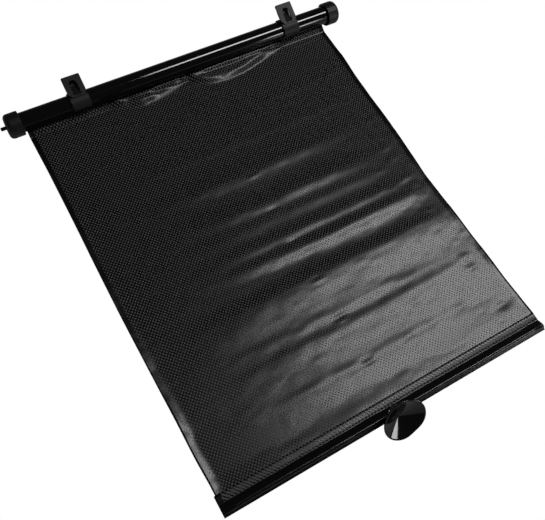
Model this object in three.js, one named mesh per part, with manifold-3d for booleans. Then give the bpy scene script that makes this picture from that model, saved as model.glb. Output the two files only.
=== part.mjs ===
// Car side window roller sunshade, lying pulled out on a flat surface.
// Millimetres, +Z up. X runs along the tube, +Y from the hem to the tube.
import * as THREE from "three";
import { mergeVertices } from "three/addons/utils/BufferGeometryUtils.js";
import Module from "manifold-3d";

const wasm = await Module();
wasm.setup();

// Clearances between separate pieces
const seatGap = 0.3;
const runGap = 0.3;

// Housing tube, with the slot that the shade leaves through
const housingLength = 417.4;
const tubeRadius = 10.5;
const tubeWall = 1.3;
const slotWidth = 4.5;
const slotAngle = 235;

// End caps
const capRadius = 13.5;
const capLength = 16;
const capEndWall = 4;
const capEdgeRadius = 4.5;
const capSpigotLength = 4;
const capSpigotWall = 1.2;
const capBossRadius = 4.2;
const capBossLength = 5;

// Fixed spindle, spring and ratchet at the left end
const spindleRadius = 2;
const spindleStickOut = 6;
const spindleReach = 148;
const ratchetRadius = 4;
const ratchetWidth = 2.6;
const ratchetNotches = 4;
const pawlPivotRadius = 6.7;
const pawlArm = 4.6;
const pawlBossRadius = 1.75;
const pawlTipRadius = 0.7;
const pawlPinRadius = 0.8;
const springRadius = 4;
const springWire = 0.8;
const springTurns = 18;
const collarRadius = 3.6;
const collarWidth = 6;

// Roller
const rollerRadius = 6;
const rollerWall = 0.6;
const flangeRadius = 8.4;
const flangeWidth = 1.6;
const plugLength = 12;
const gudgeonLength = 15;

// Shade film and its hem
const filmSideGap = 2.7;
const filmOffset = 1.2;
const filmThickness = 0.4;
const filmDrop = 456.6;
const woundThickness = 1;
const hemBand = 30;
const hemPocket = 15;
const notchCutRadius = 17;
const eyeCutMargin = 1;
const rodRadius = 2;
const rodEndInset = 12;
const rodInset = 5.5;

// Suction cup on the hem rod
const cupRadius = 22;
const cupDepth = 8.5;
const cupRimWidth = 1.2;
const cupWall = 2.2;
const cupStemRadius = 4;
const cupStemRise = 19;
const cupStemOffset = 3;
const cupEyeWall = 1.2;
const cupEyeWidth = 9;
const cupTilt = 50;
const cupShift = -1.5;
const cupLean = 4.9;

// Clips on the tube
const clipWidth = 20.5;
const clipWall = 2;
const clipBackWall = 1.3;
const clipFrontAngle = 148;
const clipBackAngle = -77;
const tabReach = 26;
const tabThickness = 2;
const tabRise = 13.5;
const tabRoot = 2;
const tabRootHalfWidth = 7;
const tabShoulder = 6.7;
const glassGap = 5.5;
const jawThickness = 1.8;
const jawHalfWidth = 7;
const jawReach = 23;
const jawCorner = 3;
const fingerWidth = 7;
const fingerThickness = 1.8;
const fingerReach = 19;
const fingerDrop = 5.6;
const slotOpenWidth = 8.6;
const slotFarEnd = 20.6;
const slotNearEnd = 3.6;
const leftClipInset = 66;
const leftClipTilt = 17;
const rightClipInset = 52.8;
const rightClipTilt = 25;

// Worked out from the sizes above
const axisHeight = capRadius;
const tubeBore = tubeRadius - tubeWall;
const tubeLength = housingLength - 2 * (capEndWall + seatGap);
const capStart = housingLength / 2 - capLength;
const capFloor = housingLength / 2 - capEndWall;
const filmWidth = 2 * (capStart - filmSideGap);
const rodLength = filmWidth - 2 * rodEndInset;
const clipPlaces = {
  clip_left: { x: leftClipInset - capStart, tilt: leftClipTilt },
  clip_right: { x: capStart - rightClipInset, tilt: rightClipTilt },
};
const bossEnd = capFloor - capBossLength;
const ratchetStart = -bossEnd + seatGap;
const headStart = ratchetStart + ratchetWidth + seatGap;
const rollerStart = headStart + flangeWidth + seatGap;
const rollerEnd = bossEnd - seatGap - flangeWidth - seatGap;
const rollerBore = rollerRadius - rollerWall;
const woundRadius = rollerRadius + runGap + woundThickness;
const rodHeight = rodRadius + runGap + cupEyeWall;
const rodY = -(filmDrop - rodInset);
const radians = THREE.MathUtils.degToRad;

// A colour, roughness and metalness for each finish
function finish(color, roughness, metalness = 0) {
  return new THREE.MeshStandardMaterial({ color, roughness, metalness });
}
const glossBlack = finish(0x0b0b0d, 0.18);
const matteBlack = finish(0x141416, 0.55);
const clipGrey = finish(0x151618, 0.6);
const filmBlack = finish(0x17181a, 0.38);
const cupBlack = finish(0x0e0f11, 0.12);
const steel = finish(0x9a9ca0, 0.35, 1);
const moulded = finish(0xb9bab6, 0.5);

function toSolid(geometry) {
  const bare = geometry.index ? geometry.clone() : geometry;
  bare.deleteAttribute("normal");
  bare.deleteAttribute("uv");
  const merged = mergeVertices(bare, 1e-4);
  const mesh = new wasm.Mesh({
    numProp: 3,
    vertProperties: new Float32Array(merged.attributes.position.array),
    triVerts: new Uint32Array(merged.index.array),
  });
  mesh.merge();
  return new wasm.Manifold(mesh);
}

function toGeometry(solid) {
  const mesh = solid.getMesh();
  const geometry = new THREE.BufferGeometry();
  geometry.setAttribute("position", new THREE.BufferAttribute(new Float32Array(mesh.vertProperties), 3));
  geometry.setIndex(new THREE.BufferAttribute(new Uint32Array(mesh.triVerts), 1));
  geometry.computeVertexNormals();
  return geometry;
}

// A section drawn in (Y, Z) runs along X from one place to another
function alongX(shape, fromX, toX, curveSegments = 24) {
  const geometry = new THREE.ExtrudeGeometry(shape, {
    depth: toX - fromX,
    bevelEnabled: false,
    curveSegments,
  });
  const turn = new THREE.Matrix4().makeBasis(
    new THREE.Vector3(0, 1, 0),
    new THREE.Vector3(0, 0, 1),
    new THREE.Vector3(1, 0, 0),
  );
  geometry.applyMatrix4(turn);
  geometry.translate(fromX, 0, 0);
  return toSolid(geometry);
}

// A plan drawn in (X, Y) is raised along Z from one height to another
function raised(shape, fromZ, toZ, curveSegments = 12) {
  const geometry = new THREE.ExtrudeGeometry(shape, {
    depth: toZ - fromZ,
    bevelEnabled: false,
    curveSegments,
  });
  geometry.translate(0, 0, fromZ);
  return toSolid(geometry);
}

// A profile of (radius, distance along X) turned about the X axis
function turnedAboutX(profile, segments = 32) {
  const points = profile.map(([radius, along]) => new THREE.Vector2(Math.max(radius, 0), along));
  points.push(points[0].clone());
  const geometry = new THREE.LatheGeometry(points, segments);
  const turn = new THREE.Matrix4().makeBasis(
    new THREE.Vector3(0, 1, 0),
    new THREE.Vector3(1, 0, 0),
    new THREE.Vector3(0, 0, -1),
  );
  geometry.applyMatrix4(turn);
  return outward(geometry);
}

// A closed profile can be drawn either way round; the solid's volume tells which way it faces
function outward(geometry) {
  const solid = toSolid(geometry);
  if (solid.volume() >= 0) {
    return solid;
  }
  const index = geometry.index.array;
  for (let i = 0; i < index.length; i += 3) {
    const swap = index[i + 1];
    index[i + 1] = index[i + 2];
    index[i + 2] = swap;
  }
  return toSolid(geometry);
}

function disc(radius, y = 0, z = 0) {
  const shape = new THREE.Shape();
  shape.absarc(y, z, radius, 0, Math.PI * 2, false);
  return shape;
}

function ringSection(outer, inner) {
  const shape = disc(outer);
  shape.holes.push(disc(inner));
  return shape;
}

function boxSolid(size, centre) {
  const geometry = new THREE.BoxGeometry(...size);
  geometry.translate(...centre);
  return toSolid(geometry);
}

const shade = new THREE.Group();
shade.name = "roller_sunshade";

// Pieces on the tube's own axis sit in this group, with the axis as their X axis
const onAxis = new THREE.Group();
onAxis.position.z = axisHeight;
shade.add(onAxis);

function addPiece(name, solid, material, parent = onAxis) {
  const mesh = new THREE.Mesh(toGeometry(solid), material);
  mesh.name = name;
  parent.add(mesh);
  return mesh;
}

// Housing tube: a round wall left open at the slot, with rounded lips
function housingTube() {
  const middle = tubeRadius - tubeWall / 2;
  const halfOpening = (slotWidth / 2 + tubeWall / 2) / middle;
  const centre = radians(slotAngle);
  const start = centre + halfOpening;
  const end = centre + Math.PI * 2 - halfOpening;
  const lip = (angle) => [middle * Math.cos(angle), middle * Math.sin(angle)];
  const section = new THREE.Shape();
  section.absarc(0, 0, tubeRadius, start, end, false);
  section.absarc(...lip(end), tubeWall / 2, end, end + Math.PI, false);
  section.absarc(0, 0, tubeBore, end, start, true);
  section.absarc(...lip(start), tubeWall / 2, start + Math.PI, start + Math.PI * 2, false);
  return alongX(section, -tubeLength / 2, tubeLength / 2, 24);
}
addPiece("housing_tube", housingTube(), glossBlack);

// End caps: an outer skirt over the tube, a spigot inside it and a boss with a hole in the middle
function endCap(side, throughHole) {
  const end = housingLength / 2;
  const edge = [];
  for (let step = 0; step <= 5; step += 1) {
    const angle = (step / 5) * (Math.PI / 2);
    edge.push([
      capRadius - capEdgeRadius + capEdgeRadius * Math.cos(angle),
      end - capEdgeRadius + capEdgeRadius * Math.sin(angle),
    ]);
  }
  const skirtBore = tubeRadius + seatGap;
  const spigotOuter = tubeBore - seatGap;
  const spigotInner = spigotOuter - capSpigotWall;
  const bore = spindleRadius + runGap;
  const boreEnd = throughHole ? end : end - capEndWall / 2;
  const profile = [
    [skirtBore, capFloor],
    [skirtBore, capStart + 0.5],
    [skirtBore + 0.5, capStart],
    [capRadius - 0.5, capStart],
    [capRadius, capStart + 0.5],
    ...edge,
  ];
  if (throughHole) {
    profile.push([bore + 0.4, end], [bore, end - 0.4]);
  } else {
    profile.push([0, end], [0, boreEnd], [bore, boreEnd]);
  }
  profile.push(
    [bore, bossEnd],
    [capBossRadius, bossEnd],
    [capBossRadius, capFloor],
    [spigotInner, capFloor],
    [spigotInner, capFloor - capSpigotLength],
    [spigotOuter, capFloor - capSpigotLength],
    [spigotOuter, capFloor],
  );
  return turnedAboutX(profile.map(([radius, along]) => [radius, side * along]), 32);
}
addPiece("end_cap_left", endCap(-1, true), matteBlack);
addPiece("end_cap_right", endCap(1, false), matteBlack);

// Spindle: held still in the left cap, its tip stands out of the end face
const spindleTip = -(housingLength / 2 + spindleStickOut);
const spindleEnd = headStart + spindleReach;
addPiece("spindle", turnedAboutX([
  [0, spindleTip],
  [spindleRadius - 0.8, spindleTip],
  [spindleRadius - 0.2, spindleTip + 0.3],
  [spindleRadius, spindleTip + 0.9],
  [spindleRadius, spindleEnd - 0.4],
  [spindleRadius - 0.4, spindleEnd],
  [0, spindleEnd],
], 20), matteBlack);

// Ratchet wheel: fixed on the spindle, one notch each quarter turn
const pawlDrop = Math.acos(
  (pawlPivotRadius ** 2 + pawlArm ** 2 - (ratchetRadius - 0.2) ** 2) / (2 * pawlPivotRadius * pawlArm),
);
const pawlLift = Math.acos(
  (pawlPivotRadius ** 2 + pawlArm ** 2 - (ratchetRadius + pawlTipRadius + runGap + 0.1) ** 2)
    / (2 * pawlPivotRadius * pawlArm),
);
const pawlSwing = pawlLift - pawlDrop;

// The pawl's outline about its pin: a round boss and a tapered arm, grown by a margin
function pawlOutline(turn, margin = 0) {
  const swing = -Math.PI / 2 - turn;
  const across = swing + Math.PI / 2;
  const tip = [pawlArm * Math.cos(swing), pawlArm * Math.sin(swing)];
  const outline = new THREE.Shape();
  outline.absarc(0, 0, pawlBossRadius + margin, across, across + Math.PI, false);
  outline.absarc(...tip, pawlTipRadius + margin, across + Math.PI, across + Math.PI * 2, false);
  return outline;
}
function ratchetWheel() {
  let wheel = alongX(
    ringSection(ratchetRadius, spindleRadius + seatGap),
    ratchetStart,
    ratchetStart + ratchetWidth,
    16,
  );
  for (let step = 0; step <= 3; step += 1) {
    const outline = pawlOutline(pawlDrop + (pawlSwing * step) / 4, runGap);
    const notch = alongX(outline, ratchetStart - 1, ratchetStart + ratchetWidth + 1, 8)
      .translate([0, 0, pawlPivotRadius]);
    for (let turn = 0; turn < ratchetNotches; turn += 1) {
      wheel = wheel.subtract(notch.rotate([(360 * turn) / ratchetNotches, 0, 0]));
    }
  }
  return wheel;
}
addPiece("ratchet_wheel", ratchetWheel(), steel);

// Spring: wound round the spindle between the roller head and the collar
class Helix extends THREE.Curve {
  constructor(radius, fromX, toX, turns) {
    super();
    Object.assign(this, { radius, fromX, toX, turns });
  }

  getPoint(share, target = new THREE.Vector3()) {
    const angle = share * this.turns * Math.PI * 2;
    return target.set(
      THREE.MathUtils.lerp(this.fromX, this.toX, share),
      this.radius * Math.cos(angle),
      this.radius * Math.sin(angle),
    );
  }
}
function wireSection(radius, sides) {
  const shape = new THREE.Shape();
  for (let side = 0; side < sides; side += 1) {
    const angle = (side / sides) * Math.PI * 2;
    const point = [radius * Math.cos(angle), radius * Math.sin(angle)];
    if (side === 0) {
      shape.moveTo(...point);
    } else {
      shape.lineTo(...point);
    }
  }
  shape.closePath();
  return shape;
}
const headInnerEnd = headStart + flangeWidth + plugLength;
const collarStart = spindleEnd - collarWidth - 2;
const springGeometry = new THREE.ExtrudeGeometry(wireSection(springWire / 2, 5), {
  steps: springTurns * 8,
  bevelEnabled: false,
  extrudePath: new Helix(
    springRadius,
    headInnerEnd + springWire / 2 + seatGap,
    collarStart - springWire / 2 - seatGap,
    springTurns,
  ),
});
addPiece("torsion_spring", outward(mergeVertices(springGeometry)), steel);

// Collar that holds the spring's still end on the spindle
addPiece("spindle_collar", turnedAboutX([
  [spindleRadius + seatGap, collarStart],
  [collarRadius - 0.4, collarStart],
  [collarRadius, collarStart + 0.4],
  [collarRadius, collarStart + collarWidth],
  [spindleRadius + seatGap, collarStart + collarWidth],
], 24), steel);

// Roller tube that the film winds on
addPiece("roller_tube", alongX(ringSection(rollerRadius, rollerBore), rollerStart, rollerEnd, 16), steel);

// Roller head: turns on the spindle, plugs the tube's left end and carries the pawls on two pins
function pawlPlaces() {
  return [0, 180];
}
function rollerHead() {
  const bore = spindleRadius + runGap;
  let head = turnedAboutX([
    [bore, headStart],
    [flangeRadius, headStart],
    [flangeRadius, headStart + flangeWidth],
    [rollerBore - seatGap, headStart + flangeWidth],
    [rollerBore - seatGap, headInnerEnd - 0.6],
    [rollerBore - seatGap - 0.6, headInnerEnd],
    [bore, headInnerEnd],
  ], 32);
  const pin = alongX(disc(pawlPinRadius, 0, pawlPivotRadius), ratchetStart, headStart + 0.5, 8);
  for (const turn of pawlPlaces()) {
    head = head.add(pin.rotate([turn, 0, 0]));
  }
  return head;
}
addPiece("roller_head", rollerHead(), moulded);

// Pawls: a round boss on the pin and a tapered arm that drops into a notch
function pawl() {
  const outline = pawlOutline(pawlLift);
  outline.holes.push(disc(pawlPinRadius + runGap));
  return alongX(outline, ratchetStart, headStart - seatGap, 10).translate([0, 0, pawlPivotRadius]);
}
addPiece("pawl_upper", pawl(), steel);
addPiece("pawl_lower", pawl().rotate([pawlPlaces()[1], 0, 0]), steel);

// Roller plug at the right end, with the gudgeon that turns in the right cap
const plugStart = rollerEnd + seatGap;
const gudgeonBore = spindleRadius + seatGap;
addPiece("roller_plug", turnedAboutX([
  [gudgeonBore, plugStart - plugLength],
  [rollerBore - seatGap - 0.6, plugStart - plugLength],
  [rollerBore - seatGap, plugStart - plugLength + 0.6],
  [rollerBore - seatGap, plugStart],
  [flangeRadius, plugStart],
  [flangeRadius, plugStart + flangeWidth],
  [gudgeonBore, plugStart + flangeWidth],
], 32), moulded);
const gudgeonEnd = bossEnd + capBossLength - seatGap;
addPiece("gudgeon_pin", turnedAboutX([
  [0, gudgeonEnd - gudgeonLength],
  [spindleRadius - 0.4, gudgeonEnd - gudgeonLength],
  [spindleRadius, gudgeonEnd - gudgeonLength + 0.4],
  [spindleRadius, gudgeonEnd - 0.4],
  [spindleRadius - 0.4, gudgeonEnd],
  [0, gudgeonEnd],
], 20), steel);

// Soft cross folds in the film: place along the drop, rise, half width and the stretch of X they cover
const crossFolds = [
  { drop: 75, rise: 1.0, spread: 8, from: 30, to: 165 },
  { drop: 115, rise: 1.3, spread: 7, from: -110, to: 150 },
  { drop: 155, rise: 2.6, spread: 7, from: -120, to: 165 },
  { drop: 202, rise: 3.0, spread: 8, from: -80, to: 135 },
  { drop: 244, rise: 2.6, spread: 7, from: -40, to: 165 },
  { drop: 265, rise: 3.0, spread: 7, from: -60, to: 160 },
  { drop: 308, rise: 2.8, spread: 12, from: -120, to: 180 },
  { drop: 350, rise: 1.6, spread: 10, from: -180, to: 120 },
  { drop: 386, rise: 1.4, spread: 9, from: -60, to: 175 },
];
const foldFade = 45;

// Loose humps where the film leaves the slot: middle, half length and rise
const exitHumps = [
  { x: -50, reach: 42, rise: 5.5 },
  { x: 65, reach: 70, rise: 4.5 },
  { x: -168, reach: 24, rise: 2.2 },
];
const humpDrop = 12.5;
const humpSpread = 4.5;
const landingDrop = 14;

function smooth(from, to, value) {
  return THREE.MathUtils.smoothstep(value, Math.min(from, to), Math.max(from, to));
}

function humpRise(x) {
  return exitHumps.reduce((total, hump) => {
    const share = Math.min(1, Math.abs(x - hump.x) / hump.reach);
    return total + hump.rise * Math.cos((share * Math.PI) / 2) ** 2;
  }, 0);
}

function foldRise(x, drop) {
  return crossFolds.reduce((total, fold) => {
    const along = smooth(fold.from, fold.from + foldFade, x) * (1 - smooth(fold.to - foldFade, fold.to, x));
    return total + fold.rise * along * Math.exp(-(((drop - fold.drop) / fold.spread) ** 2));
  }, 0);
}

// Height of the film's underside, at a place along X and a distance from the tube's axis
const slotMiddle = (tubeRadius - tubeWall / 2);
const slotDrop = -slotMiddle * Math.cos(radians(slotAngle));
const slotHeight = axisHeight + slotMiddle * Math.sin(radians(slotAngle));
const hemStart = filmDrop - hemPocket;
const flapStart = filmDrop - hemBand;
const pocketLift = rodHeight - rodRadius - runGap - filmThickness;
function filmHeight(x, drop) {
  const landing = slotHeight * (1 - smooth(slotDrop - 1.5, landingDrop, drop));
  const hump = humpRise(x) * Math.exp(-(((drop - humpDrop) / humpSpread) ** 2));
  const free = smooth(slotDrop + 1, slotDrop + 6, drop);
  const lift = pocketLift * smooth(hemStart - 45, flapStart - 4, drop);
  return landing + hump * free + foldRise(x, drop) + lift;
}

// The film's sheet is a thin closed slab: two skins over the same grid of places
function filmSheet() {
  const rollAngle = radians(slotAngle) + Math.acos((woundRadius - filmThickness) / slotMiddle);
  const tangentDrop = -(woundRadius - filmThickness) * Math.cos(rollAngle);
  const tangentHeight = axisHeight + (woundRadius - filmThickness) * Math.sin(rollAngle);
  const drops = [tangentDrop, slotDrop, 8, 10, 12, 14, 16.5, 19.5, 24];
  for (let drop = 33; drop < hemStart - 4; drop += 9.3) {
    drops.push(drop);
  }
  drops.push(hemStart + 1);
  const columns = 20;
  const left = filmOffset - filmWidth / 2;
  const positions = [];
  for (const skin of [0, filmThickness]) {
    for (const drop of drops) {
      for (let column = 0; column <= columns; column += 1) {
        const x = left + (filmWidth * column) / columns;
        const height = drop === tangentDrop ? tangentHeight : filmHeight(x, drop);
        positions.push(x, -drop, height + skin);
      }
    }
  }
  const rows = drops.length;
  const wide = columns + 1;
  const at = (skin, row, column) => (skin * rows + row) * wide + column;
  const index = [];
  const quad = (a, b, c, d) => index.push(a, b, c, a, c, d);
  for (let row = 0; row + 1 < rows; row += 1) {
    for (let column = 0; column < columns; column += 1) {
      quad(at(0, row, column), at(0, row, column + 1), at(0, row + 1, column + 1), at(0, row + 1, column));
      quad(at(1, row, column), at(1, row + 1, column), at(1, row + 1, column + 1), at(1, row, column + 1));
    }
    quad(at(0, row, 0), at(0, row + 1, 0), at(1, row + 1, 0), at(1, row, 0));
    quad(at(0, row, columns), at(1, row, columns), at(1, row + 1, columns), at(0, row + 1, columns));
  }
  for (let column = 0; column < columns; column += 1) {
    quad(at(0, 0, column), at(1, 0, column), at(1, 0, column + 1), at(0, 0, column + 1));
    const last = rows - 1;
    quad(at(0, last, column), at(0, last, column + 1), at(1, last, column + 1), at(1, last, column));
  }
  const geometry = new THREE.BufferGeometry();
  geometry.setAttribute("position", new THREE.Float32BufferAttribute(positions, 3));
  geometry.setIndex(index);
  return outward(geometry);
}

// Hem: the film goes round the rod and comes back on itself, welded along the pocket's inner edge
function hemPocketSolid() {
  const half = filmThickness / 2;
  const weldY = -hemStart;
  const edgeY = -filmDrop;
  const floor = pocketLift + half;
  const over = rodRadius + runGap + half;
  const middle = new THREE.SplineCurve([
    [weldY + 0.5, floor],
    [rodY + 4, floor],
    [rodY, floor],
    [edgeY + 1.2, floor],
    [edgeY + half, floor + 0.7],
    [edgeY + 1.2, floor + 1.7],
    [rodY - over * 0.8, rodHeight + over * 0.75],
    [rodY, rodHeight + over * 1.04],
    [rodY + over * 0.8, rodHeight + over * 0.8],
    [rodY + 6, floor + 1.9],
    [weldY - 0.6, floor + filmThickness + 0.15],
  ].map(([y, z]) => new THREE.Vector2(y, z)));
  const steps = 26;
  const outer = [];
  const inner = [];
  for (let step = 0; step <= steps; step += 1) {
    const point = middle.getPoint(step / steps);
    const along = middle.getTangent(step / steps);
    outer.push(new THREE.Vector2(point.x - along.y * half, point.y + along.x * half));
    inner.unshift(new THREE.Vector2(point.x + along.y * half, point.y - along.x * half));
  }
  const left = filmOffset - filmWidth / 2;
  const right = filmOffset + filmWidth / 2;
  const loop = alongX(new THREE.Shape([...outer, ...inner]), left, right);
  const weld = boxSolid([filmWidth, 2, filmThickness * 2], [filmOffset, weldY, pocketLift + filmThickness]);
  const flapLength = hemStart - flapStart;
  const flap = boxSolid(
    [filmWidth, flapLength, filmThickness + 0.1],
    [filmOffset, weldY + flapLength / 2, pocketLift + filmThickness * 1.5 - 0.05],
  );
  return loop.add(weld).add(flap);
}

function shadeFilm() {
  const left = filmOffset - filmWidth / 2;
  const right = filmOffset + filmWidth / 2;
  const wound = alongX(ringSection(woundRadius, rollerRadius + runGap), left, right, 18).translate([0, 0, axisHeight]);
  const lowerLayer = pocketLift + filmThickness + 0.02;
  const notch = raised(disc(notchCutRadius, filmOffset, -filmDrop + 1.5), lowerLayer, 12, 20);
  const eyeRoom = rodHeight + eyeCutMargin;
  const eyeCut = boxSolid(
    [cupEyeWidth + 2 * eyeCutMargin, 2 * eyeRoom + rodInset, 12],
    [filmOffset + cupShift, rodY - rodInset / 2, 0],
  );
  return wound.add(filmSheet()).add(hemPocketSolid()).subtract(notch).subtract(eyeCut);
}
addPiece("shade_film", shadeFilm(), filmBlack, shade);

// Hem rod
const rodEnd = rodLength / 2;
const rod = addPiece("hem_rod", turnedAboutX([
  [0, -rodEnd],
  [rodRadius - 0.4, -rodEnd],
  [rodRadius, -rodEnd + 0.4],
  [rodRadius, rodEnd - 0.4],
  [rodRadius - 0.4, rodEnd],
  [0, rodEnd],
], 20), steel, shade);
rod.position.set(filmOffset, rodY, rodHeight);

// Suction cup: a shallow dish on a stem, with an eye round the rod; the rod's axis is its origin
function suctionCup() {
  const apex = cupStemRise - cupDepth;
  const back = apex - cupWall;
  const steps = 8;
  const profile = [];
  for (let step = 0; step <= steps; step += 1) {
    const share = step / steps;
    profile.push([(cupRadius - cupRimWidth) * share, apex + cupDepth * share ** 1.15]);
  }
  profile.push(
    [cupRadius - 0.3, cupStemRise],
    [cupRadius, cupStemRise - 0.4],
    [cupRadius - 0.3, cupStemRise - 1],
    [cupRadius * 0.6, back + cupDepth * 0.5],
    [cupStemRadius + 3, back + 1.2],
    [cupStemRadius + 0.8, back - 0.4],
    [cupStemRadius, back - 1.8],
    [cupStemRadius, rodRadius + runGap],
    [0, rodRadius + runGap],
    [0, apex],
  );
  const points = profile.map(([radius, height]) => new THREE.Vector2(radius, height));
  const geometry = new THREE.LatheGeometry(points, 36);
  geometry.rotateX(Math.PI / 2);
  geometry.rotateY(radians(-cupLean));
  geometry.translate(0, cupStemOffset, 0);
  const bowl = outward(geometry);
  const eyeRadius = rodRadius + runGap + cupEyeWall;
  const half = cupEyeWidth / 2;
  const eye = alongX(disc(eyeRadius), -half, half, 16);
  const neck = new THREE.Shape();
  neck.moveTo(-eyeRadius, 0);
  neck.lineTo(cupStemOffset - cupStemRadius, back - 1);
  neck.lineTo(cupStemOffset + cupStemRadius, back - 1);
  neck.lineTo(cupStemOffset + cupStemRadius, rodRadius + runGap);
  neck.lineTo(eyeRadius * 0.92, -eyeRadius * 0.39);
  neck.closePath();
  const bore = alongX(disc(rodRadius + runGap), -half - 4, half + 4, 16);
  return bowl.add(eye).add(alongX(neck, -half, half)).subtract(bore);
}
const cup = addPiece("suction_cup", suctionCup(), cupBlack, shade);
cup.position.set(filmOffset + cupShift, rodY, rodHeight);
cup.rotation.x = radians(cupTilt);

// Clip, one moulding: a C-shaped band that snaps over the tube, a flat tab with a slot, a spring finger
// that bends down out of the slot, and a lower jaw; the glass goes between the tab and the jaw
function clip() {
  const inner = tubeRadius + seatGap;
  const outer = inner + clipWall;
  const backOuter = inner + clipBackWall;
  const front = radians(clipFrontAngle);
  const back = radians(clipBackAngle);
  const crease = Math.acos(tabRoot / outer);
  const frontEnd = inner + clipWall / 2;
  const backEnd = inner + clipBackWall / 2;
  const section = new THREE.Shape();
  section.absarc(0, 0, backOuter, back, crease, false);
  section.absarc(0, 0, outer, crease, front, false);
  section.absarc(frontEnd * Math.cos(front), frontEnd * Math.sin(front), clipWall / 2, front, front + Math.PI, false);
  section.absarc(0, 0, inner, front, back, true);
  section.absarc(
    backEnd * Math.cos(back), backEnd * Math.sin(back), clipBackWall / 2, back + Math.PI, back + Math.PI * 2, false,
  );
  const half = clipWidth / 2;
  const band = alongX(section, -half, half, 16);
  const plan = new THREE.Shape();
  const corner = 0.8;
  plan.moveTo(-tabRootHalfWidth, tabRoot);
  plan.lineTo(tabRootHalfWidth, tabRoot);
  plan.lineTo(half, tabShoulder);
  plan.lineTo(half, tabReach - corner);
  plan.lineTo(half - corner, tabReach);
  plan.lineTo(-half + corner, tabReach);
  plan.lineTo(-half, tabReach - corner);
  plan.lineTo(-half, tabShoulder);
  plan.closePath();
  const open = slotOpenWidth / 2;
  const arch = new THREE.Shape();
  arch.moveTo(-open, slotNearEnd);
  arch.lineTo(open, slotNearEnd);
  arch.lineTo(open, slotFarEnd - open);
  arch.absarc(0, slotFarEnd - open, open, 0, Math.PI, false);
  arch.closePath();
  plan.holes.push(arch);
  const tabUnder = tabRise - tabThickness;
  const tab = raised(plan, tabUnder, tabRise);
  const footDepth = tabRise - Math.sqrt(backOuter ** 2 - tabShoulder ** 2);
  const footWidth = tabRootHalfWidth - open;
  const foot = boxSolid(
    [footWidth, tabShoulder - tabRoot, footDepth],
    [open + footWidth / 2, (tabRoot + tabShoulder) / 2, tabRise - footDepth / 2],
  );
  const root = boxSolid(
    [2 * tabRootHalfWidth, slotNearEnd - tabRoot, tabThickness + 1.5],
    [0, (tabRoot + slotNearEnd) / 2, tabRise - (tabThickness + 1.5) / 2],
  );
  const tipTop = tabRise - fingerDrop;
  const side = new THREE.Shape();
  side.moveTo(tabRoot, tabRise);
  side.lineTo(slotNearEnd, tabRise);
  side.lineTo(fingerReach - 3, tipTop);
  side.lineTo(fingerReach, tipTop);
  side.lineTo(fingerReach, tipTop - fingerThickness * 0.8);
  side.lineTo(fingerReach - 3.4, tipTop - fingerThickness * 0.9);
  side.lineTo(slotNearEnd - 0.4, tabUnder);
  side.lineTo(tabRoot, tabUnder);
  side.closePath();
  const halfFinger = fingerWidth / 2;
  const fingerPlan = new THREE.Shape();
  fingerPlan.moveTo(-halfFinger, tabRoot);
  fingerPlan.lineTo(halfFinger, tabRoot);
  fingerPlan.lineTo(halfFinger, fingerReach - halfFinger);
  fingerPlan.absarc(0, fingerReach - halfFinger, halfFinger, 0, Math.PI, false);
  fingerPlan.closePath();
  const finger = alongX(side, -halfFinger - 1, halfFinger + 1).intersect(raised(fingerPlan, 0, tabRise + 1));
  const jawTop = tabUnder - glassGap;
  const jawPlan = new THREE.Shape();
  jawPlan.moveTo(-jawHalfWidth, backEnd * 0.9);
  jawPlan.lineTo(jawHalfWidth, backEnd * 0.9);
  jawPlan.lineTo(jawHalfWidth, jawReach - jawCorner);
  jawPlan.absarc(jawHalfWidth - jawCorner, jawReach - jawCorner, jawCorner, 0, Math.PI / 2, false);
  jawPlan.absarc(-jawHalfWidth + jawCorner, jawReach - jawCorner, jawCorner, Math.PI / 2, Math.PI, false);
  jawPlan.closePath();
  const jaw = raised(jawPlan, jawTop - jawThickness, jawTop, 6);
  const core = alongX(disc(inner - 0.02), -half - 1, half + 1, 18);
  return band.add(tab).add(foot).add(foot.mirror([1, 0, 0])).add(root).add(finger).add(jaw).subtract(core);
}
for (const [name, place] of Object.entries(clipPlaces)) {
  const piece = addPiece(name, clip(), clipGrey);
  piece.position.x = place.x;
  piece.rotation.x = radians(place.tilt);
}

// The origin is the middle of the whole shade's footprint, on the surface it lies on
const model = new THREE.Group();
model.add(shade);
model.updateMatrixWorld(true);
const extent = new THREE.Box3().setFromObject(model, true);
shade.position.set(-(extent.min.x + extent.max.x) / 2, -(extent.min.y + extent.max.y) / 2, -extent.min.z);
model.updateMatrixWorld(true);

export default model;
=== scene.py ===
import math

import bpy
import numpy as np
from mathutils import Matrix, Vector


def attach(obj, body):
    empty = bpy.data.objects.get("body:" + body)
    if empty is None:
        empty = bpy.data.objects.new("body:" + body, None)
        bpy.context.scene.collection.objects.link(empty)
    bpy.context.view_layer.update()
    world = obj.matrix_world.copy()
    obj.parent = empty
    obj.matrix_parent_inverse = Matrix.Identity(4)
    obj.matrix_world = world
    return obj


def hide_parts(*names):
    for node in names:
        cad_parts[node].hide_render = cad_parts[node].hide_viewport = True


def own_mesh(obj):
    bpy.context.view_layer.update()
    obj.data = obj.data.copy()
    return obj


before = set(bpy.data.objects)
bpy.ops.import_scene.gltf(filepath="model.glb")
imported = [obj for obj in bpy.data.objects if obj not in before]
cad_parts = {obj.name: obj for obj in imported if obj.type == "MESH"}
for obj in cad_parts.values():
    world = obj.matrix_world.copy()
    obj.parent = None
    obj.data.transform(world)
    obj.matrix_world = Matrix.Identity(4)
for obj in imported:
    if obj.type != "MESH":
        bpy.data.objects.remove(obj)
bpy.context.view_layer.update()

mm = 0.001
print("frame loaded")

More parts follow.
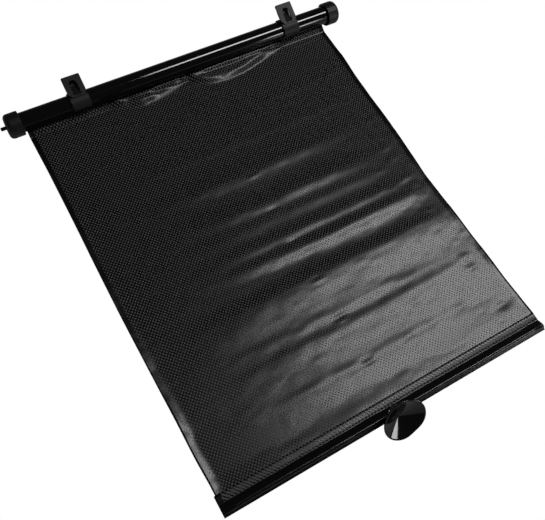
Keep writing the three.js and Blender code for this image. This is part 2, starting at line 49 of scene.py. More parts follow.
# Places shared by several pieces, in millimetres in the part's frame
places = {
    "axisY": 228.077,
    "axisZ": 13.5,
    "slotDrop": 5.65,
    "slotHeight": 5.43,
    "filmLeft": -185.8,
    "filmRight": 194.2,
    "halfFilm": 190,
    "filmThickness": 0.25,
    "hemEdgeY": -228.52,
    "flapEdgeY": -208.6,
    "weldY": -215.2,
    "rodY": -223.02,
    "rodZ": 3.5,
    "cupX": 2.7,
}
filmMiddle = (places["filmLeft"] + places["filmRight"]) / 2
filmLength = places["filmRight"] - places["filmLeft"]
flapDrop = places["axisY"] - places["flapEdgeY"]


def smooth(a, b, v):
    t = np.clip((np.asarray(v, float) - a) / (b - a), 0, 1)
    return t * t * (3 - 2 * t)


def bell(v, width):
    return np.exp(-((v / width) ** 2))


# Repeatable noise from -1 to 1: the sine's factors only scatter its last digits
def hashNoise(ix, iy, seed):
    n = np.sin(ix * 127.1 + iy * 311.7 + seed * 74.7) * 43758.5453
    return n - np.floor(n)


def valueNoise(x, y, scale, seed):
    u, v = np.asarray(x, float) / scale, np.asarray(y, float) / scale
    iu, iv = np.floor(u), np.floor(v)
    fu, fv = smooth(0, 1, u - iu), smooth(0, 1, v - iv)
    a = hashNoise(iu, iv, seed) * (1 - fu) + hashNoise(iu + 1, iv, seed) * fu
    b = hashNoise(iu, iv + 1, seed) * (1 - fu) + hashNoise(iu + 1, iv + 1, seed) * fu
    return (a * (1 - fv) + b * fv) * 2 - 1


def makeObject(name, verts, faces, material, uvs=None, smoothShade=True):
    mesh = bpy.data.meshes.new(name)
    mesh.from_pydata([tuple(v) for v in verts], [], [tuple(f) for f in faces])
    mesh.materials.append(material)
    if uvs is not None:
        layer = mesh.uv_layers.new(name="UVMap")
        loopVerts = np.empty(len(mesh.loops), np.int64)
        mesh.loops.foreach_get("vertex_index", loopVerts)
        layer.data.foreach_set("uv", np.asarray(uvs, np.float32)[loopVerts].ravel())
    if smoothShade:
        mesh.polygons.foreach_set("use_smooth", [True] * len(mesh.polygons))
    mesh.update()
    obj = bpy.data.objects.new(name, mesh)
    bpy.context.scene.collection.objects.link(obj)
    return obj


def gridFaces(rows, cols, start=0, closed=False):
    r, c = np.meshgrid(np.arange(rows - 1), np.arange(cols - 1 + closed), indexing="ij")
    a = start + r * cols + c
    b = start + r * cols + (c + 1) % cols
    return np.stack([a, b, b + cols, a + cols], -1).reshape(-1, 4)


# Shader helpers
def newMaterial(name):
    material = bpy.data.materials.new(name)
    material.use_nodes = True
    tree = material.node_tree
    return material, tree, tree.nodes["Principled BSDF"]


def link(tree, out, into):
    tree.links.new(out, into)


def addNode(tree, kind, **values):
    node = tree.nodes.new(kind)
    for key, value in values.items():
        setattr(node, key, value)
    return node


def mathNode(tree, operation, a, b=None):
    node = addNode(tree, "ShaderNodeMath", operation=operation)
    for socket, value in zip(node.inputs, (a, b)):
        if value is None:
            continue
        if hasattr(value, "is_linked"):
            link(tree, value, socket)
        else:
            socket.default_value = value
    return node.outputs[0]


def newGroup(name, floats, vectors, outputs):
    group = bpy.data.node_groups.new(name, "ShaderNodeTree")
    for label, value in floats.items():
        socket = group.interface.new_socket(name=label, in_out="INPUT", socket_type="NodeSocketFloat")
        socket.default_value = value
    for label in vectors:
        group.interface.new_socket(name=label, in_out="INPUT", socket_type="NodeSocketVector")
    for label, kind in outputs.items():
        group.interface.new_socket(name=label, in_out="OUTPUT", socket_type=kind)
    return group, group.nodes.new("NodeGroupInput"), group.nodes.new("NodeGroupOutput")


def groupNode(tree, group, values):
    node = addNode(tree, "ShaderNodeGroup", node_tree=group)
    for label, value in values.items():
        node.inputs[label].default_value = value
    return node


# Fine moulded or drawn unevenness, shared by the plain finishes
surface = {
    "inputs": {"Scale": 400.0, "Amount": 0.1, "Roughness": 0.4},
    "outputs": {"Roughness": "NodeSocketFloat", "Normal": "NodeSocketVector"},
    "detail": 4,
    "depth": 0.0002,
}


def surfaceGroup():
    group, enter, leave = newGroup("fineSurface", surface["inputs"], [], surface["outputs"])
    coords = addNode(group, "ShaderNodeTexCoord")
    noise = addNode(group, "ShaderNodeTexNoise")
    noise.inputs["Detail"].default_value = surface["detail"]
    link(group, coords.outputs["Object"], noise.inputs["Vector"])
    link(group, enter.outputs["Scale"], noise.inputs["Scale"])
    centred = mathNode(group, "SUBTRACT", noise.outputs["Fac"], 0.5)
    shift = mathNode(group, "MULTIPLY", centred, enter.outputs["Amount"])
    rough = mathNode(group, "ADD", enter.outputs["Roughness"], shift)
    bump = addNode(group, "ShaderNodeBump")
    bump.inputs["Distance"].default_value = surface["depth"]
    link(group, enter.outputs["Amount"], bump.inputs["Strength"])
    link(group, noise.outputs["Fac"], bump.inputs["Height"])
    link(group, rough, leave.inputs["Roughness"])
    link(group, bump.outputs["Normal"], leave.inputs["Normal"])
    return group


fineSurface = surfaceGroup()


def plainFinish(name, color, roughness, scale, amount, metallic=0.0):
    material, tree, shader = newMaterial(name)
    node = groupNode(tree, fineSurface, {"Scale": scale, "Amount": amount, "Roughness": roughness})
    link(tree, node.outputs["Roughness"], shader.inputs["Roughness"])
    link(tree, node.outputs["Normal"], shader.inputs["Normal"])
    shader.inputs["Base Color"].default_value = (*color, 1)
    shader.inputs["Metallic"].default_value = metallic
    return material


finishes = {
    "tubeBlack": dict(color=(0.005, 0.005, 0.006), roughness=0.08, scale=160.0, amount=0.02),
    "capBlack": dict(color=(0.009, 0.009, 0.010), roughness=0.42, scale=900.0, amount=0.15),
    "clipBlack": dict(color=(0.010, 0.010, 0.011), roughness=0.5, scale=900.0, amount=0.2),
    "cupBlack": dict(color=(0.006, 0.006, 0.007), roughness=0.09, scale=60.0, amount=0.02),
    "steel": dict(color=(0.55, 0.55, 0.56), roughness=0.34, scale=700.0, amount=0.1, metallic=1.0),
    "naturalPlastic": dict(color=(0.5, 0.5, 0.46), roughness=0.45, scale=500.0, amount=0.1),
}
finish = {name: plainFinish(name, **values) for name, values in finishes.items()}

# Film: black soft sheet with staggered round holes, read from a UV map in millimetres
film = {
    "holes": {"PitchX": 3.75, "PitchY": 4.05, "Radius": 0.76, "Edge": 0.3},
    "marginX": 5.5,
    "lastHole": 443.5,
    "flapStart": 436.6,
    "secondLayer": (1.1, 0.8, 0),
    "base": 0.003,
    # painted shade: the holes' grey stands in for the floor under the film, seen through the holes in the
    # film's shade
    "shadedFloorInHoles": 0.19,
    "specular": 0.5,
    "roughness": 0.27,
    "plainRoughness": 0.3,
    # the film's inside face is matte; under the half-moon this keeps the lower layer dark, as painted shade
    "shadedInsideRoughness": 0.75,
    "grain": {"Scale": 0.9, "Detail": 3},
    "bump": {"Strength": 0.1, "Distance": 0.0001},
}


def perforationGroup():
    group, enter, leave = newGroup("perforation", film["holes"], ["Place"], {"Hole": "NodeSocketFloat"})
    split = addNode(group, "ShaderNodeSeparateXYZ")
    link(group, enter.outputs["Place"], split.inputs[0])
    distances = []
    for shift in (0.0, 0.5):
        squares = []
        for axis, pitch in (("X", "PitchX"), ("Y", "PitchY")):
            cell = mathNode(group, "DIVIDE", split.outputs[axis], enter.outputs[pitch])
            inCell = mathNode(group, "FRACT", mathNode(group, "ADD", cell, shift))
            centred = mathNode(group, "SUBTRACT", inCell, 0.5)
            away = mathNode(group, "MULTIPLY", centred, enter.outputs[pitch])
            squares.append(mathNode(group, "MULTIPLY", away, away))
        distances.append(mathNode(group, "SQRT", mathNode(group, "ADD", *squares)))
    nearest = mathNode(group, "MINIMUM", *distances)
    inside = mathNode(group, "SUBTRACT", enter.outputs["Radius"], nearest)
    ramp = mathNode(group, "DIVIDE", inside, enter.outputs["Edge"])
    clamp = addNode(group, "ShaderNodeClamp")
    link(group, mathNode(group, "ADD", ramp, 0.5), clamp.inputs[0])
    link(group, clamp.outputs[0], leave.inputs["Hole"])
    return group


perforation = perforationGroup()


def holeMask(tree, uv):
    split = addNode(tree, "ShaderNodeSeparateXYZ")
    link(tree, uv, split.inputs[0])
    x, drop = split.outputs["X"], split.outputs["Y"]
    fromLeft = mathNode(tree, "GREATER_THAN", x, film["marginX"])
    fromRight = mathNode(tree, "LESS_THAN", x, 2 * places["halfFilm"] - film["marginX"])
    beforeHem = mathNode(tree, "LESS_THAN", drop, film["lastHole"])
    between = mathNode(tree, "MULTIPLY", mathNode(tree, "MULTIPLY", fromLeft, fromRight), beforeHem)
    first = groupNode(tree, perforation, film["holes"])
    link(tree, uv, first.inputs["Place"])
    single = mathNode(tree, "MULTIPLY", between, first.outputs["Hole"])
    # In the flap a second layer's holes show out of step with the first
    shifted = addNode(tree, "ShaderNodeVectorMath", operation="ADD")
    link(tree, uv, shifted.inputs[0])
    shifted.inputs[1].default_value = film["secondLayer"]
    second = groupNode(tree, perforation, film["holes"])
    link(tree, shifted.outputs[0], second.inputs["Place"])
    inFlap = mathNode(tree, "MULTIPLY", between, mathNode(tree, "GREATER_THAN", drop, film["flapStart"]))
    double = mathNode(tree, "MULTIPLY", inFlap, second.outputs["Hole"])
    return mathNode(tree, "MAXIMUM", single, double)


def filmMaterial(name, roughness, perforated=False):
    material, tree, shader = newMaterial(name)
    shader.inputs["Base Color"].default_value = (film["base"],) * 3 + (1,)
    shader.inputs["Specular IOR Level"].default_value = film["specular"]
    shader.inputs["Roughness"].default_value = roughness
    uv = addNode(tree, "ShaderNodeUVMap", uv_map="UVMap").outputs[0]
    grain = addNode(tree, "ShaderNodeTexNoise")
    bump = addNode(tree, "ShaderNodeBump")
    for node, values in ((grain, film["grain"]), (bump, film["bump"])):
        for label, value in values.items():
            node.inputs[label].default_value = value
    link(tree, uv, grain.inputs["Vector"])
    link(tree, grain.outputs["Fac"], bump.inputs["Height"])
    link(tree, bump.outputs["Normal"], shader.inputs["Normal"])
    if perforated:
        # painted shade: each hole is drawn as a grey diffuse patch for the shaded floor under the film
        holeShade = addNode(tree, "ShaderNodeBsdfDiffuse")
        holeShade.inputs["Color"].default_value = (film["shadedFloorInHoles"],) * 3 + (1,)
        mix = addNode(tree, "ShaderNodeMixShader")
        link(tree, holeMask(tree, uv), mix.inputs[0])
        link(tree, shader.outputs[0], mix.inputs[1])
        link(tree, holeShade.outputs[0], mix.inputs[2])
        link(tree, mix.outputs[0], tree.nodes["Material Output"].inputs["Surface"])
    return material


filmPerforated = filmMaterial("filmPerforated", film["roughness"], perforated=True)
filmPlain = filmMaterial("filmPlain", film["plainRoughness"])
filmInsideShaded = filmMaterial("filmInsideShaded", film["shadedInsideRoughness"])
print("materials made")

# Film sheet: x is from its middle and drop from the tube's axis, both in millimetres. The folds run
# across it, parallel to the tube; their drop, like that of puckers and curls, is from the tube's front.
# rise is a height, near and far are a fold's widths towards the tube and the hem.
sheet = {
    "columns": 161,
    "insideSlot": 2.5,
    "fineRows": (7.5, 30, 1.0),
    "coarseStep": 2.2,
    "lowest": 0.05,
    "frontDrop": 7.1,
    "drawTravel": 0.405,
    "slope": dict(end=14.5, lead=0.6, power=1.15),
    "hemRise": dict(rise=1.3, slant=0.35, over=(417, 439)),
    "sidePower": 6,
    "rightSide": dict(pull=-4.0, until=(300, 430), waves=[(1.6, 61.0, 0.8), (1.0, 23.0, 0.0)], share=0.7),
    "leftSide": dict(pull=-1.6, until=(395, 430), sway=0.6, length=50.0),
    "folds": [
        dict(x0=55, x1=160, drop=66, rise=0.6, near=6, far=5, bow=0),
        dict(x0=-110, x1=20, drop=60, rise=0.4, near=10, far=8, bow=0),
        dict(x0=-110, x1=155, drop=106, rise=0.75, near=7, far=6, bow=0),
        dict(x0=-110, x1=125, drop=146, rise=2.0, near=12, far=10, bow=-2),
        dict(x0=-80, x1=135, drop=187, rise=2.5, near=9, far=12, bow=-3),
        dict(x0=-100, x1=150, drop=207, rise=1.0, near=7, far=9, bow=0),
        dict(x0=-90, x1=165, drop=231, rise=1.6, near=8, far=8, bow=0),
        dict(x0=-75, x1=170, drop=250, rise=2.4, near=7, far=10, bow=-2),
        dict(x0=-120, x1=185, drop=287, rise=2.9, near=10, far=28, bow=0),
        dict(x0=-110, x1=120, drop=330, rise=0.5, near=6, far=6, bow=0),
        dict(x0=-130, x1=150, drop=346, rise=0.8, near=6, far=9, bow=0),
        dict(x0=-120, x1=140, drop=386, rise=0.5, near=6, far=8, bow=0),
    ],
    "foldFade": 1.2,
    "lobes": [
        dict(x0=0, x1=136, reach=20.0, skew=0.6, rise=4.2, rough=0.22),
        dict(x0=-102, x1=-2, reach=15.0, skew=1.05, rise=3.8, rough=0.6),
        dict(x0=-190, x1=-120, reach=4.0, skew=1.0, rise=1.2, rough=0.4),
    ],
    "lobe": dict(shortest=10.0, before=8, after=3, soft=0.3, stretch=1.6, patch=13, seed=11, clear=(1, 5)),
    "puckers": [55, 90, 150, 200, 243, 290, 338, 388],
    "pucker": dict(x=3, width=7, half=2.0, rise=0.5),
    "curls": [65, 145, 185, 200, 228, 240, 275, 340, 355, 405],
    "curl": dict(x=164, stagger=3, width=9, length=4.0, rise=0.5),
    "edge": dict(width=5.0, rise=1.3, rough=0.5, patch=30, seed=3, start=(30, 60)),
    "leftEdge": dict(width=5.5, rise=1.3, rough=0.4, patch=18, seed=8, start=(290, 380), end=(418, 436)),
    "ripples": [
        dict(rise=0.35, stretch=2.2, patch=45, seed=1),
        dict(rise=0.12, stretch=2.6, patch=14, seed=2),
    ],
    "rippleStart": (20, 50),
}


def slopeHeight(drop):
    slope = sheet["slope"]
    share = (drop - places["slotDrop"] + slope["lead"]) / (slope["end"] - places["slotDrop"])
    return places["slotHeight"] * np.clip(1 - np.maximum(share, 0) ** slope["power"], 0, 1)


def lobeHeight(x, drop):
    shape = sheet["lobe"]
    total = np.zeros(x.shape)
    for lobe in sheet["lobes"]:
        share = np.clip((x - lobe["x0"]) / (lobe["x1"] - lobe["x0"]), 0, 1)
        swell = np.sin(math.pi * share ** lobe["skew"])
        front = shape["shortest"] + lobe["reach"] * swell
        past = smooth(front - shape["before"], front + shape["after"], drop)
        full = smooth(0, shape["soft"], swell) * (1 - past)
        crumple = 1 + lobe["rough"] * valueNoise(x, drop * shape["stretch"], shape["patch"], shape["seed"])
        total = total + lobe["rise"] * full * crumple
    clearFrom, clearTo = shape["clear"]
    return total * smooth(places["slotDrop"] + clearFrom, places["slotDrop"] + clearTo, drop)


def foldHeight(x, drop):
    total = np.zeros(x.shape)
    for fold in sheet["folds"]:
        middle = (fold["x0"] + fold["x1"]) / 2
        halfSpan = (fold["x1"] - fold["x0"]) / 2
        share = (x - middle) / halfSpan
        fade = np.exp(-(np.abs(share) ** 4) * sheet["foldFade"])
        d = drop - (fold["drop"] + fold["bow"] * share**2)
        total = total + fold["rise"] * fade * bell(d, np.where(d < 0, fold["near"], fold["far"]))
    return total


def puckerHeight(x, drop):
    pucker = sheet["pucker"]
    total = np.zeros(x.shape)
    for place in sheet["puckers"]:
        d = drop - place
        pair = bell(d - pucker["half"], pucker["half"]) - bell(d + pucker["half"], pucker["half"])
        total = total + pucker["rise"] * bell(x - pucker["x"], pucker["width"]) * pair
    return total


def curlHeight(x, drop):
    curl = sheet["curl"]
    total = np.zeros(x.shape)
    for i, place in enumerate(sheet["curls"]):
        middle = curl["x"] + curl["stagger"] * (i % 2)
        total = total + curl["rise"] * bell(x - middle, curl["width"]) * bell(drop - place, curl["length"])
    return total


def edgeHeight(x, drop):
    edge, left = sheet["edge"], sheet["leftEdge"]
    both = edge["rise"] * bell(places["halfFilm"] - np.abs(x), edge["width"]) * smooth(*edge["start"], drop)
    both = both * (1 + edge["rough"] * valueNoise(drop, x * 0, edge["patch"], edge["seed"]))
    more = left["rise"] * bell(x + places["halfFilm"], left["width"]) * smooth(*left["start"], drop)
    more = more * (1 + left["rough"] * valueNoise(drop, x * 0, left["patch"], left["seed"]))
    return both + more * (1 - smooth(*left["end"], drop))


def sheetHeight(x, drop):
    fromFront = drop - sheet["frontDrop"]
    height = slopeHeight(drop) + lobeHeight(x, drop) + foldHeight(x, fromFront)
    height = height + puckerHeight(x, fromFront) + curlHeight(x, fromFront) + edgeHeight(x, drop)
    for ripple in sheet["ripples"]:
        noise = valueNoise(x, drop * ripple["stretch"], ripple["patch"], ripple["seed"])
        height = height + ripple["rise"] * noise * smooth(*sheet["rippleStart"], drop)
    return height


def sidePull(side, drop):
    right, left = sheet["rightSide"], sheet["leftSide"]
    wave = sum(rise * np.sin(drop / length + shift) for rise, length, shift in right["waves"])
    rightPull = right["pull"] * (1 - smooth(*right["until"], drop)) + wave * right["share"]
    leftPull = left["sway"] * np.sin(drop / left["length"]) + left["pull"]
    leftPull = leftPull * (1 - smooth(*left["until"], drop))
    return np.where(side > 0, rightPull, leftPull) * np.abs(side) ** sheet["sidePower"]


# Faces that close a two-sided grid round its border; the lower side's points come after the upper's
def rimFaces(rows, cols):
    count = rows * cols
    rim = []
    for r in range(rows - 1):
        a, b = r * cols, (r + 1) * cols
        rim.append((a, b, count + b, count + a))
        a, b = a + cols - 1, b + cols - 1
        rim.append((b, a, count + a, count + b))
    for c in range(cols - 1):
        rim.append((c + 1, c, count + c, count + c + 1))
        last = (rows - 1) * cols + c
        rim.append((last, last + 1, count + last + 1, count + last))
    return np.array(rim)


def buildSheet():
    half = places["halfFilm"]
    fineStart, fineEnd, fineStep = sheet["fineRows"]
    drops = np.concatenate([
        [places["slotDrop"] - sheet["insideSlot"], places["slotDrop"]],
        np.arange(fineStart, fineEnd, fineStep),
        np.arange(fineEnd, flapDrop - 1, sheet["coarseStep"]),
        [flapDrop],
    ])
    x, drop = np.meshgrid(np.linspace(-half, half, sheet["columns"]), drops)
    side = x / half
    toHem = sheet["hemRise"]
    z = sheetHeight(x, drop) + (toHem["rise"] - toHem["slant"] * side) * smooth(*toHem["over"], drop)
    z = np.maximum(z, sheet["lowest"])
    across = filmMiddle + x + sidePull(side, drop)
    along = places["axisY"] - drop
    top = np.stack([across, along, z + places["filmThickness"]], -1).reshape(-1, 3) * mm
    bottom = np.stack([across, along, z], -1).reshape(-1, 3) * mm
    rows, cols = drop.shape
    upper = gridFaces(rows, cols)[:, ::-1]
    lower = gridFaces(rows, cols, start=len(top))
    uv = np.stack([x + half, drop], -1).reshape(-1, 2)
    faces = np.concatenate([upper, lower, rimFaces(rows, cols)])
    verts = np.concatenate([top, bottom])
    return makeObject("filmSheet", verts, faces, filmPerforated, np.concatenate([uv, uv]))


filmSheet = buildSheet()
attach(filmSheet, "housing")
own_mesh(filmSheet)
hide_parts("shade_film")
print("film sheet built")

# Hem band: the film goes on under the rod, is folded at the hem's edge and comes back over the rod as a
# flap. Its path is a line in places, a distance from it towards the tube, and a height above low.
hem = {
    "columns": 381,
    "rows": 64,
    "low": 0.95,
    "under": [
        ("flapEdgeY", 1.5, -0.1),
        ("weldY", 0, -0.1),
        ("weldY", -4, -0.2),
        ("rodY", 2, -0.1),
        ("rodY", -2, 0),
        ("hemEdgeY", 1.0, 0.05),
        ("hemEdgeY", 0.15, 0.4),
        ("hemEdgeY", 0.6, 0.9),
        ("hemEdgeY", 1.6, 1.0),
        ("rodY", -3.2, 1.3),
    ],
    "loop": dict(radius=2.55, start=165, step=19.5, points=7),
    "over": [
        ("rodY", 5.0, 2.2),
        ("weldY", -1.5, 0.75),
        ("weldY", 0, 0.4),
        ("weldY", 1.2, 0.8),
        ("flapEdgeY", -1.5, 0.85),
        ("flapEdgeY", 0.6, 0.65),
    ],
    "notch": dict(x=5.8, y=-228.6, radius=12.2),
    "eye": dict(half=5.5, reach=3.6),
    "lowerRows": 25,
    "flapRow": 52,
    "flapWave": dict(rise=0.25, lift=0.15, patch=26, seed=5),
    "crumple": dict(rise=0.12, stretch=3, patch=9, seed=6, over=(-1, 1.5)),
    "ends": dict(start=176, flatten=0.35, lift=0.3, widen=0.007),
}


def hemPath():
    def along(rows):
        return [(places[line] + away, hem["low"] + lift) for line, away, lift in rows]

    loop = hem["loop"]
    angles = [math.radians(loop["start"] - step * loop["step"]) for step in range(loop["points"])]
    overRod = [
        (places["rodY"] + loop["radius"] * math.cos(angle), places["rodZ"] + loop["radius"] * math.sin(angle))
        for angle in angles
    ]
    points = np.array(along(hem["under"]) + overRod + along(hem["over"]))
    lengths = np.concatenate([[0], np.cumsum(np.linalg.norm(np.diff(points, axis=0), axis=1))])
    even = np.linspace(0, lengths[-1], hem["rows"])
    return np.stack([np.interp(even, lengths, points[:, 0]), np.interp(even, lengths, points[:, 1])], -1)


def buildHem():
    half = places["halfFilm"]
    path = hemPath()
    row, x = np.meshgrid(np.arange(hem["rows"]), np.linspace(-half, half, hem["columns"]), indexing="ij")
    y, z = path[row, 0], path[row, 1]
    wave, crumple, ends = hem["flapWave"], hem["crumple"], hem["ends"]
    high = smooth(places["rodZ"] + crumple["over"][0], places["rodZ"] + crumple["over"][1], z)
    flap = wave["rise"] * valueNoise(x, y, wave["patch"], wave["seed"]) + wave["lift"]
    small = crumple["rise"] * valueNoise(x, y * crumple["stretch"], crumple["patch"], crumple["seed"])
    z = z + (row > hem["flapRow"]) * flap + small * high
    beyond = smooth(ends["start"], half, np.abs(x))
    z = z * (1 - ends["flatten"] * beyond) + ends["lift"] * beyond
    verts = np.stack([filmMiddle + x * (1 + ends["widen"] * beyond), y, z], -1).reshape(-1, 3) * mm

    # The half-moon goes through the upper layer only; both layers are open round the cup's eye. The lower
    # layer left under the half-moon has a matte finish that keeps it dark: a real layer, made dark as painted
    # shade for the shade under the notch.
    notch, eye = hem["notch"], hem["eye"]
    faces = gridFaces(hem["rows"], hem["columns"])
    centre = verts[faces].mean(1) / mm
    upperLayer = faces[:, 0] // hem["columns"] >= hem["lowerRows"]
    inNotch = np.hypot(centre[:, 0] - notch["x"], centre[:, 1] - notch["y"]) < notch["radius"]
    besideEye = np.abs(centre[:, 0] - places["cupX"]) < eye["half"]
    nearEye = besideEye & (centre[:, 1] < places["rodY"] + eye["reach"])
    kept = ~(inNotch & upperLayer) & ~nearEye
    uv = np.stack([x + half, places["axisY"] - y], -1).reshape(-1, 2)
    band = makeObject("hemBand", verts, faces[kept], filmPerforated, uv)
    band.data.materials.append(filmInsideShaded)
    band.data.polygons.foreach_set("material_index", (~upperLayer[kept]).astype(np.int32))
    thickness = band.modifiers.new("thickness", "SOLIDIFY")
    thickness.thickness = places["filmThickness"] * mm
    thickness.offset = 0
    return band


hemBand = buildHem()
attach(hemBand, "hem_bar")
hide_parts("shade_film")
print("hem band built")


# Pieces turned about an axis: a profile of (radius, distance) in millimetres, then a place and turn
def turnedPiece(name, profile, segments, place, material, bend=None):
    angles = np.arange(segments) * 2 * math.pi / segments
    radius = np.array([p[0] for p in profile])[:, None]
    height = np.array([p[1] for p in profile])[:, None] + 0 * angles
    points = np.stack([radius * np.cos(angles), radius * np.sin(angles), height], -1).reshape(-1, 3)
    if bend is not None:
        points = bend(points)
    verts = (points @ np.array(place.to_3x3()).T + np.array(place.translation)) * mm
    return makeObject(name, verts, gridFaces(len(profile), segments, closed=True), material)


def placed(at, degrees, axis):
    return Matrix.Translation(at) @ Matrix.Rotation(math.radians(degrees), 4, axis)


# Wound turns of the film on the roller, as one ring with softened ends
roll = {"inner": 6.35, "outer": 7.25, "softIn": 0.2, "softOut": 0.1, "segments": 64}
rollNear = [
    (roll["inner"], 0),
    (roll["inner"] + roll["softIn"], -roll["softOut"]),
    (roll["outer"] - roll["softIn"], -roll["softOut"]),
    (roll["outer"], 0),
]
rollFar = [(radius, filmLength - height) for radius, height in reversed(rollNear)]
rollPlace = placed((places["filmLeft"], places["axisY"], places["axisZ"]), 90, "Y")
filmRoll = turnedPiece("filmRoll", rollNear + rollFar + rollNear[:1], roll["segments"], rollPlace, filmPlain)
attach(filmRoll, "roller")
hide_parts("shade_film")

# Suction cup: a smooth dish with a rolled rim on a stem, pressed a little flat on one side
cup = {
    "radius": 23.0,
    "rise": 19.0,
    "depth": 8.6,
    "dishPower": 1.12,
    "dishSteps": 24,
    "wall": 2.2,
    "rim": dict(inset=1.3, radius=0.6, drop=0.55, start=100, step=38, points=7),
    "back": [(0.85, 0.74), (0.7, 0.6), (0.55, 0.44), (0.42, 0.27), (0.33, 0.13)],
    "stem": 4.0,
    "stemTop": [(1.6, 0.1), (0.5, 0.9), (0, 2.2)],
    "stemFoot": [(4.0, 5.4), (3.6, 5.0), (0.02, 5.0)],
    "centreHole": 0.02,
    "flat": 0.10,
    "flatAt": -66.0,
    "flatSpread": 25.0,
    "apexShift": -2.4,
    "apexOver": (6.5, 9.5),
    "lean": 4.9,
    "tilt": 50.0,
    "offset": 3.0,
    "segments": 160,
}


def cupProfile():
    apex = cup["rise"] - cup["depth"]
    back = apex - cup["wall"]
    rim = cup["rim"]
    profile = []
    for step in range(cup["dishSteps"] + 1):
        share = step / cup["dishSteps"]
        radius = max(cup["centreHole"], (cup["radius"] - rim["inset"]) * share)
        profile.append((radius, apex + cup["depth"] * share ** cup["dishPower"]))
    for step in range(rim["points"]):
        angle = math.radians(rim["start"] - step * rim["step"])
        radius = cup["radius"] - rim["radius"] + rim["radius"] * math.cos(angle)
        profile.append((radius, cup["rise"] - rim["drop"] + rim["radius"] * math.sin(angle)))
    profile += [(cup["radius"] * share, back + cup["depth"] * rise) for share, rise in cup["back"]]
    profile += [(cup["stem"] + out, back - down) for out, down in cup["stemTop"]]
    return profile + cup["stemFoot"]


def bendCup(points):
    radius = np.hypot(points[:, 0], points[:, 1])
    angle = np.degrees(np.arctan2(points[:, 1], points[:, 0]))
    share = np.clip(radius / cup["radius"], 0, 1)
    pressed = 1 - cup["flat"] * bell(angle - cup["flatAt"], cup["flatSpread"]) * share**3
    shift = cup["apexShift"] * (1 - share) * smooth(*cup["apexOver"], points[:, 2])
    return np.stack([points[:, 0] * pressed + shift, points[:, 1] * pressed, points[:, 2]], -1)


cupPlace = placed((places["cupX"], places["rodY"], places["rodZ"]), cup["tilt"], "X")
bowlPlace = cupPlace @ placed((0, cup["offset"], 0), -cup["lean"], "Y")
cupBowl = turnedPiece("cupBowl", cupProfile(), cup["segments"], bowlPlace, finish["cupBlack"], bendCup)

# The cup's eye round the rod, and the neck between the eye and the stem
eye = {
    "half": 4.5,
    "profile": [(2.35, 0), (3.2, 0), (3.45, 0.3), (3.45, 8.7), (3.2, 9), (2.35, 9), (2.35, 0)],
    "segments": 48,
}
eyePlace = placed((places["cupX"] - eye["half"], places["rodY"], places["rodZ"]), 90, "Y")
cupEye = turnedPiece("cupEye", eye["profile"], eye["segments"], eyePlace, finish["cupBlack"])
neck = {"half": 4.2, "profile": [(-3.3, 1.0), (2.9, 0.6), (3.2, 4.6), (6.8, 8.6), (-0.8, 8.6), (-3.3, 2.6)]}
neckSides = (-neck["half"], neck["half"])
neckVerts = [tuple((cupPlace @ Vector((x, y, z))) * mm) for x in neckSides for y, z in neck["profile"]]
count = len(neck["profile"])
neckFaces = [tuple(range(count)), tuple(range(2 * count - 1, count - 1, -1))]
neckFaces += [(i, count + i, count + (i + 1) % count, (i + 1) % count) for i in range(count)]
cupNeck = makeObject("cupNeck", neckVerts, neckFaces, finish["cupBlack"], smoothShade=False)
for piece in (cupBowl, cupEye, cupNeck):
    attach(piece, "cup")
    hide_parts("suction_cup")
print("cup and roll built")

# Finishes of the CAD nodes
nodeFinishes = {
    "tubeBlack": ["housing_tube"],
    "capBlack": ["end_cap_left", "end_cap_right", "spindle"],
    "clipBlack": ["clip_left", "clip_right"],
    "steel": [
        "spindle_collar", "ratchet_wheel", "torsion_spring", "roller_tube", "pawl_upper", "pawl_lower",
        "gudgeon_pin", "hem_rod",
    ],
    "naturalPlastic": ["roller_head", "roller_plug"],
}
for name, nodes in nodeFinishes.items():
    for node in nodes:
        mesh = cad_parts[node].data
        mesh.materials.clear()
        mesh.materials.append(finish[name])

# Floor: white to the camera, pale to everything else
floor = {"half": 3.0, "z": -0.0004, "bounce": 0.8, "roughness": 0.9}
floorMaterial, floorTree, floorShader = newMaterial("floor")
floorShader.inputs["Base Color"].default_value = (floor["bounce"],) * 3 + (1,)
floorShader.inputs["Roughness"].default_value = floor["roughness"]
rays = addNode(floorTree, "ShaderNodeLightPath")
glow = addNode(floorTree, "ShaderNodeEmission")
glow.inputs["Color"].default_value = (1, 1, 1, 1)
mixed = addNode(floorTree, "ShaderNodeMixShader")
link(floorTree, rays.outputs["Is Camera Ray"], mixed.inputs[0])
link(floorTree, floorShader.outputs[0], mixed.inputs[1])
link(floorTree, glow.outputs[0], mixed.inputs[2])
link(floorTree, mixed.outputs[0], floorTree.nodes["Material Output"].inputs["Surface"])
signs = ((-1, -1), (1, -1), (1, 1), (-1, 1))
corners = [(x * floor["half"], y * floor["half"], floor["z"]) for x, y in signs]
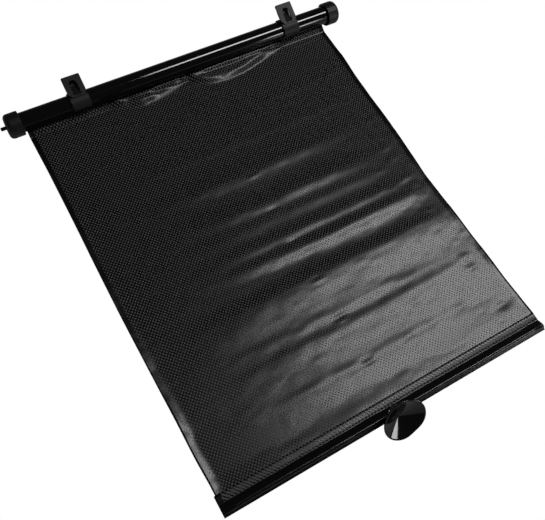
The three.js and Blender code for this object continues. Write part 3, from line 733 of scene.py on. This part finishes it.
floorPlane = makeObject("floor", corners, [(0, 1, 2, 3)], floorMaterial, smoothShade=False)

# Lights: places and sizes in metres, power in watts
lights = {
    "main": dict(at=(0.79, 0.0, 1.40), aim=(0.1, -0.16, 0), size=(0.15, 0.95), power=7.4),
    "wedge": dict(at=(0.93, -1.33, 0.36), aim=(0, -0.23, 0.02), size=(0.2, 0.45), power=2.6),
    "fill": dict(at=(-1.2, 0.6, 1.6), aim=(0, 0, 0), size=(1.0, 1.0), power=0.15),
}
for name, spec in lights.items():
    data = bpy.data.lights.new(name, "AREA")
    data.shape = "RECTANGLE"
    data.size, data.size_y = spec["size"]
    data.energy = spec["power"]
    lamp = bpy.data.objects.new(name, data)
    lamp.location = spec["at"]
    lamp.rotation_euler = (Vector(spec["aim"]) - Vector(spec["at"])).to_track_quat("-Z", "Y").to_euler()
    bpy.context.scene.collection.objects.link(lamp)

worldLight = {"Color": (1, 1, 1, 1), "Strength": 0.035}
world = bpy.data.worlds.new("world")
bpy.context.scene.world = world
world.use_nodes = True
for label, value in worldLight.items():
    world.node_tree.nodes["Background"].inputs[label].default_value = value
bpy.context.scene.view_settings.view_transform = "Standard"

# Camera: its axes and place in the part's frame, and its focal length in pixels of the photo's width
view = {
    "right": (0.85995, -0.49437, 0.12679),
    "down": (-0.40654, -0.81372, -0.41545),
    "forward": (0.30856, 0.30572, -0.90074),
    "at": (-0.248196, -0.251511, 0.657405),
    "focal": 697.67,
    "photoWidth": 545,
    "sensor": 36,
    "clip": (0.01, 20),
}
camera = bpy.data.objects.new("camera", bpy.data.cameras.new("camera"))
axes = [Vector(view["right"]), -Vector(view["down"]), -Vector(view["forward"]), Vector(view["at"])]
camera.matrix_world = Matrix([[axis[i] for axis in axes] for i in range(3)] + [[0, 0, 0, 1]])
camera.data.sensor_width = view["sensor"]
camera.data.lens = view["focal"] / view["photoWidth"] * view["sensor"]
camera.data.clip_start, camera.data.clip_end = view["clip"]
bpy.context.scene.collection.objects.link(camera)
bpy.context.scene.camera = camera
print("stage set")
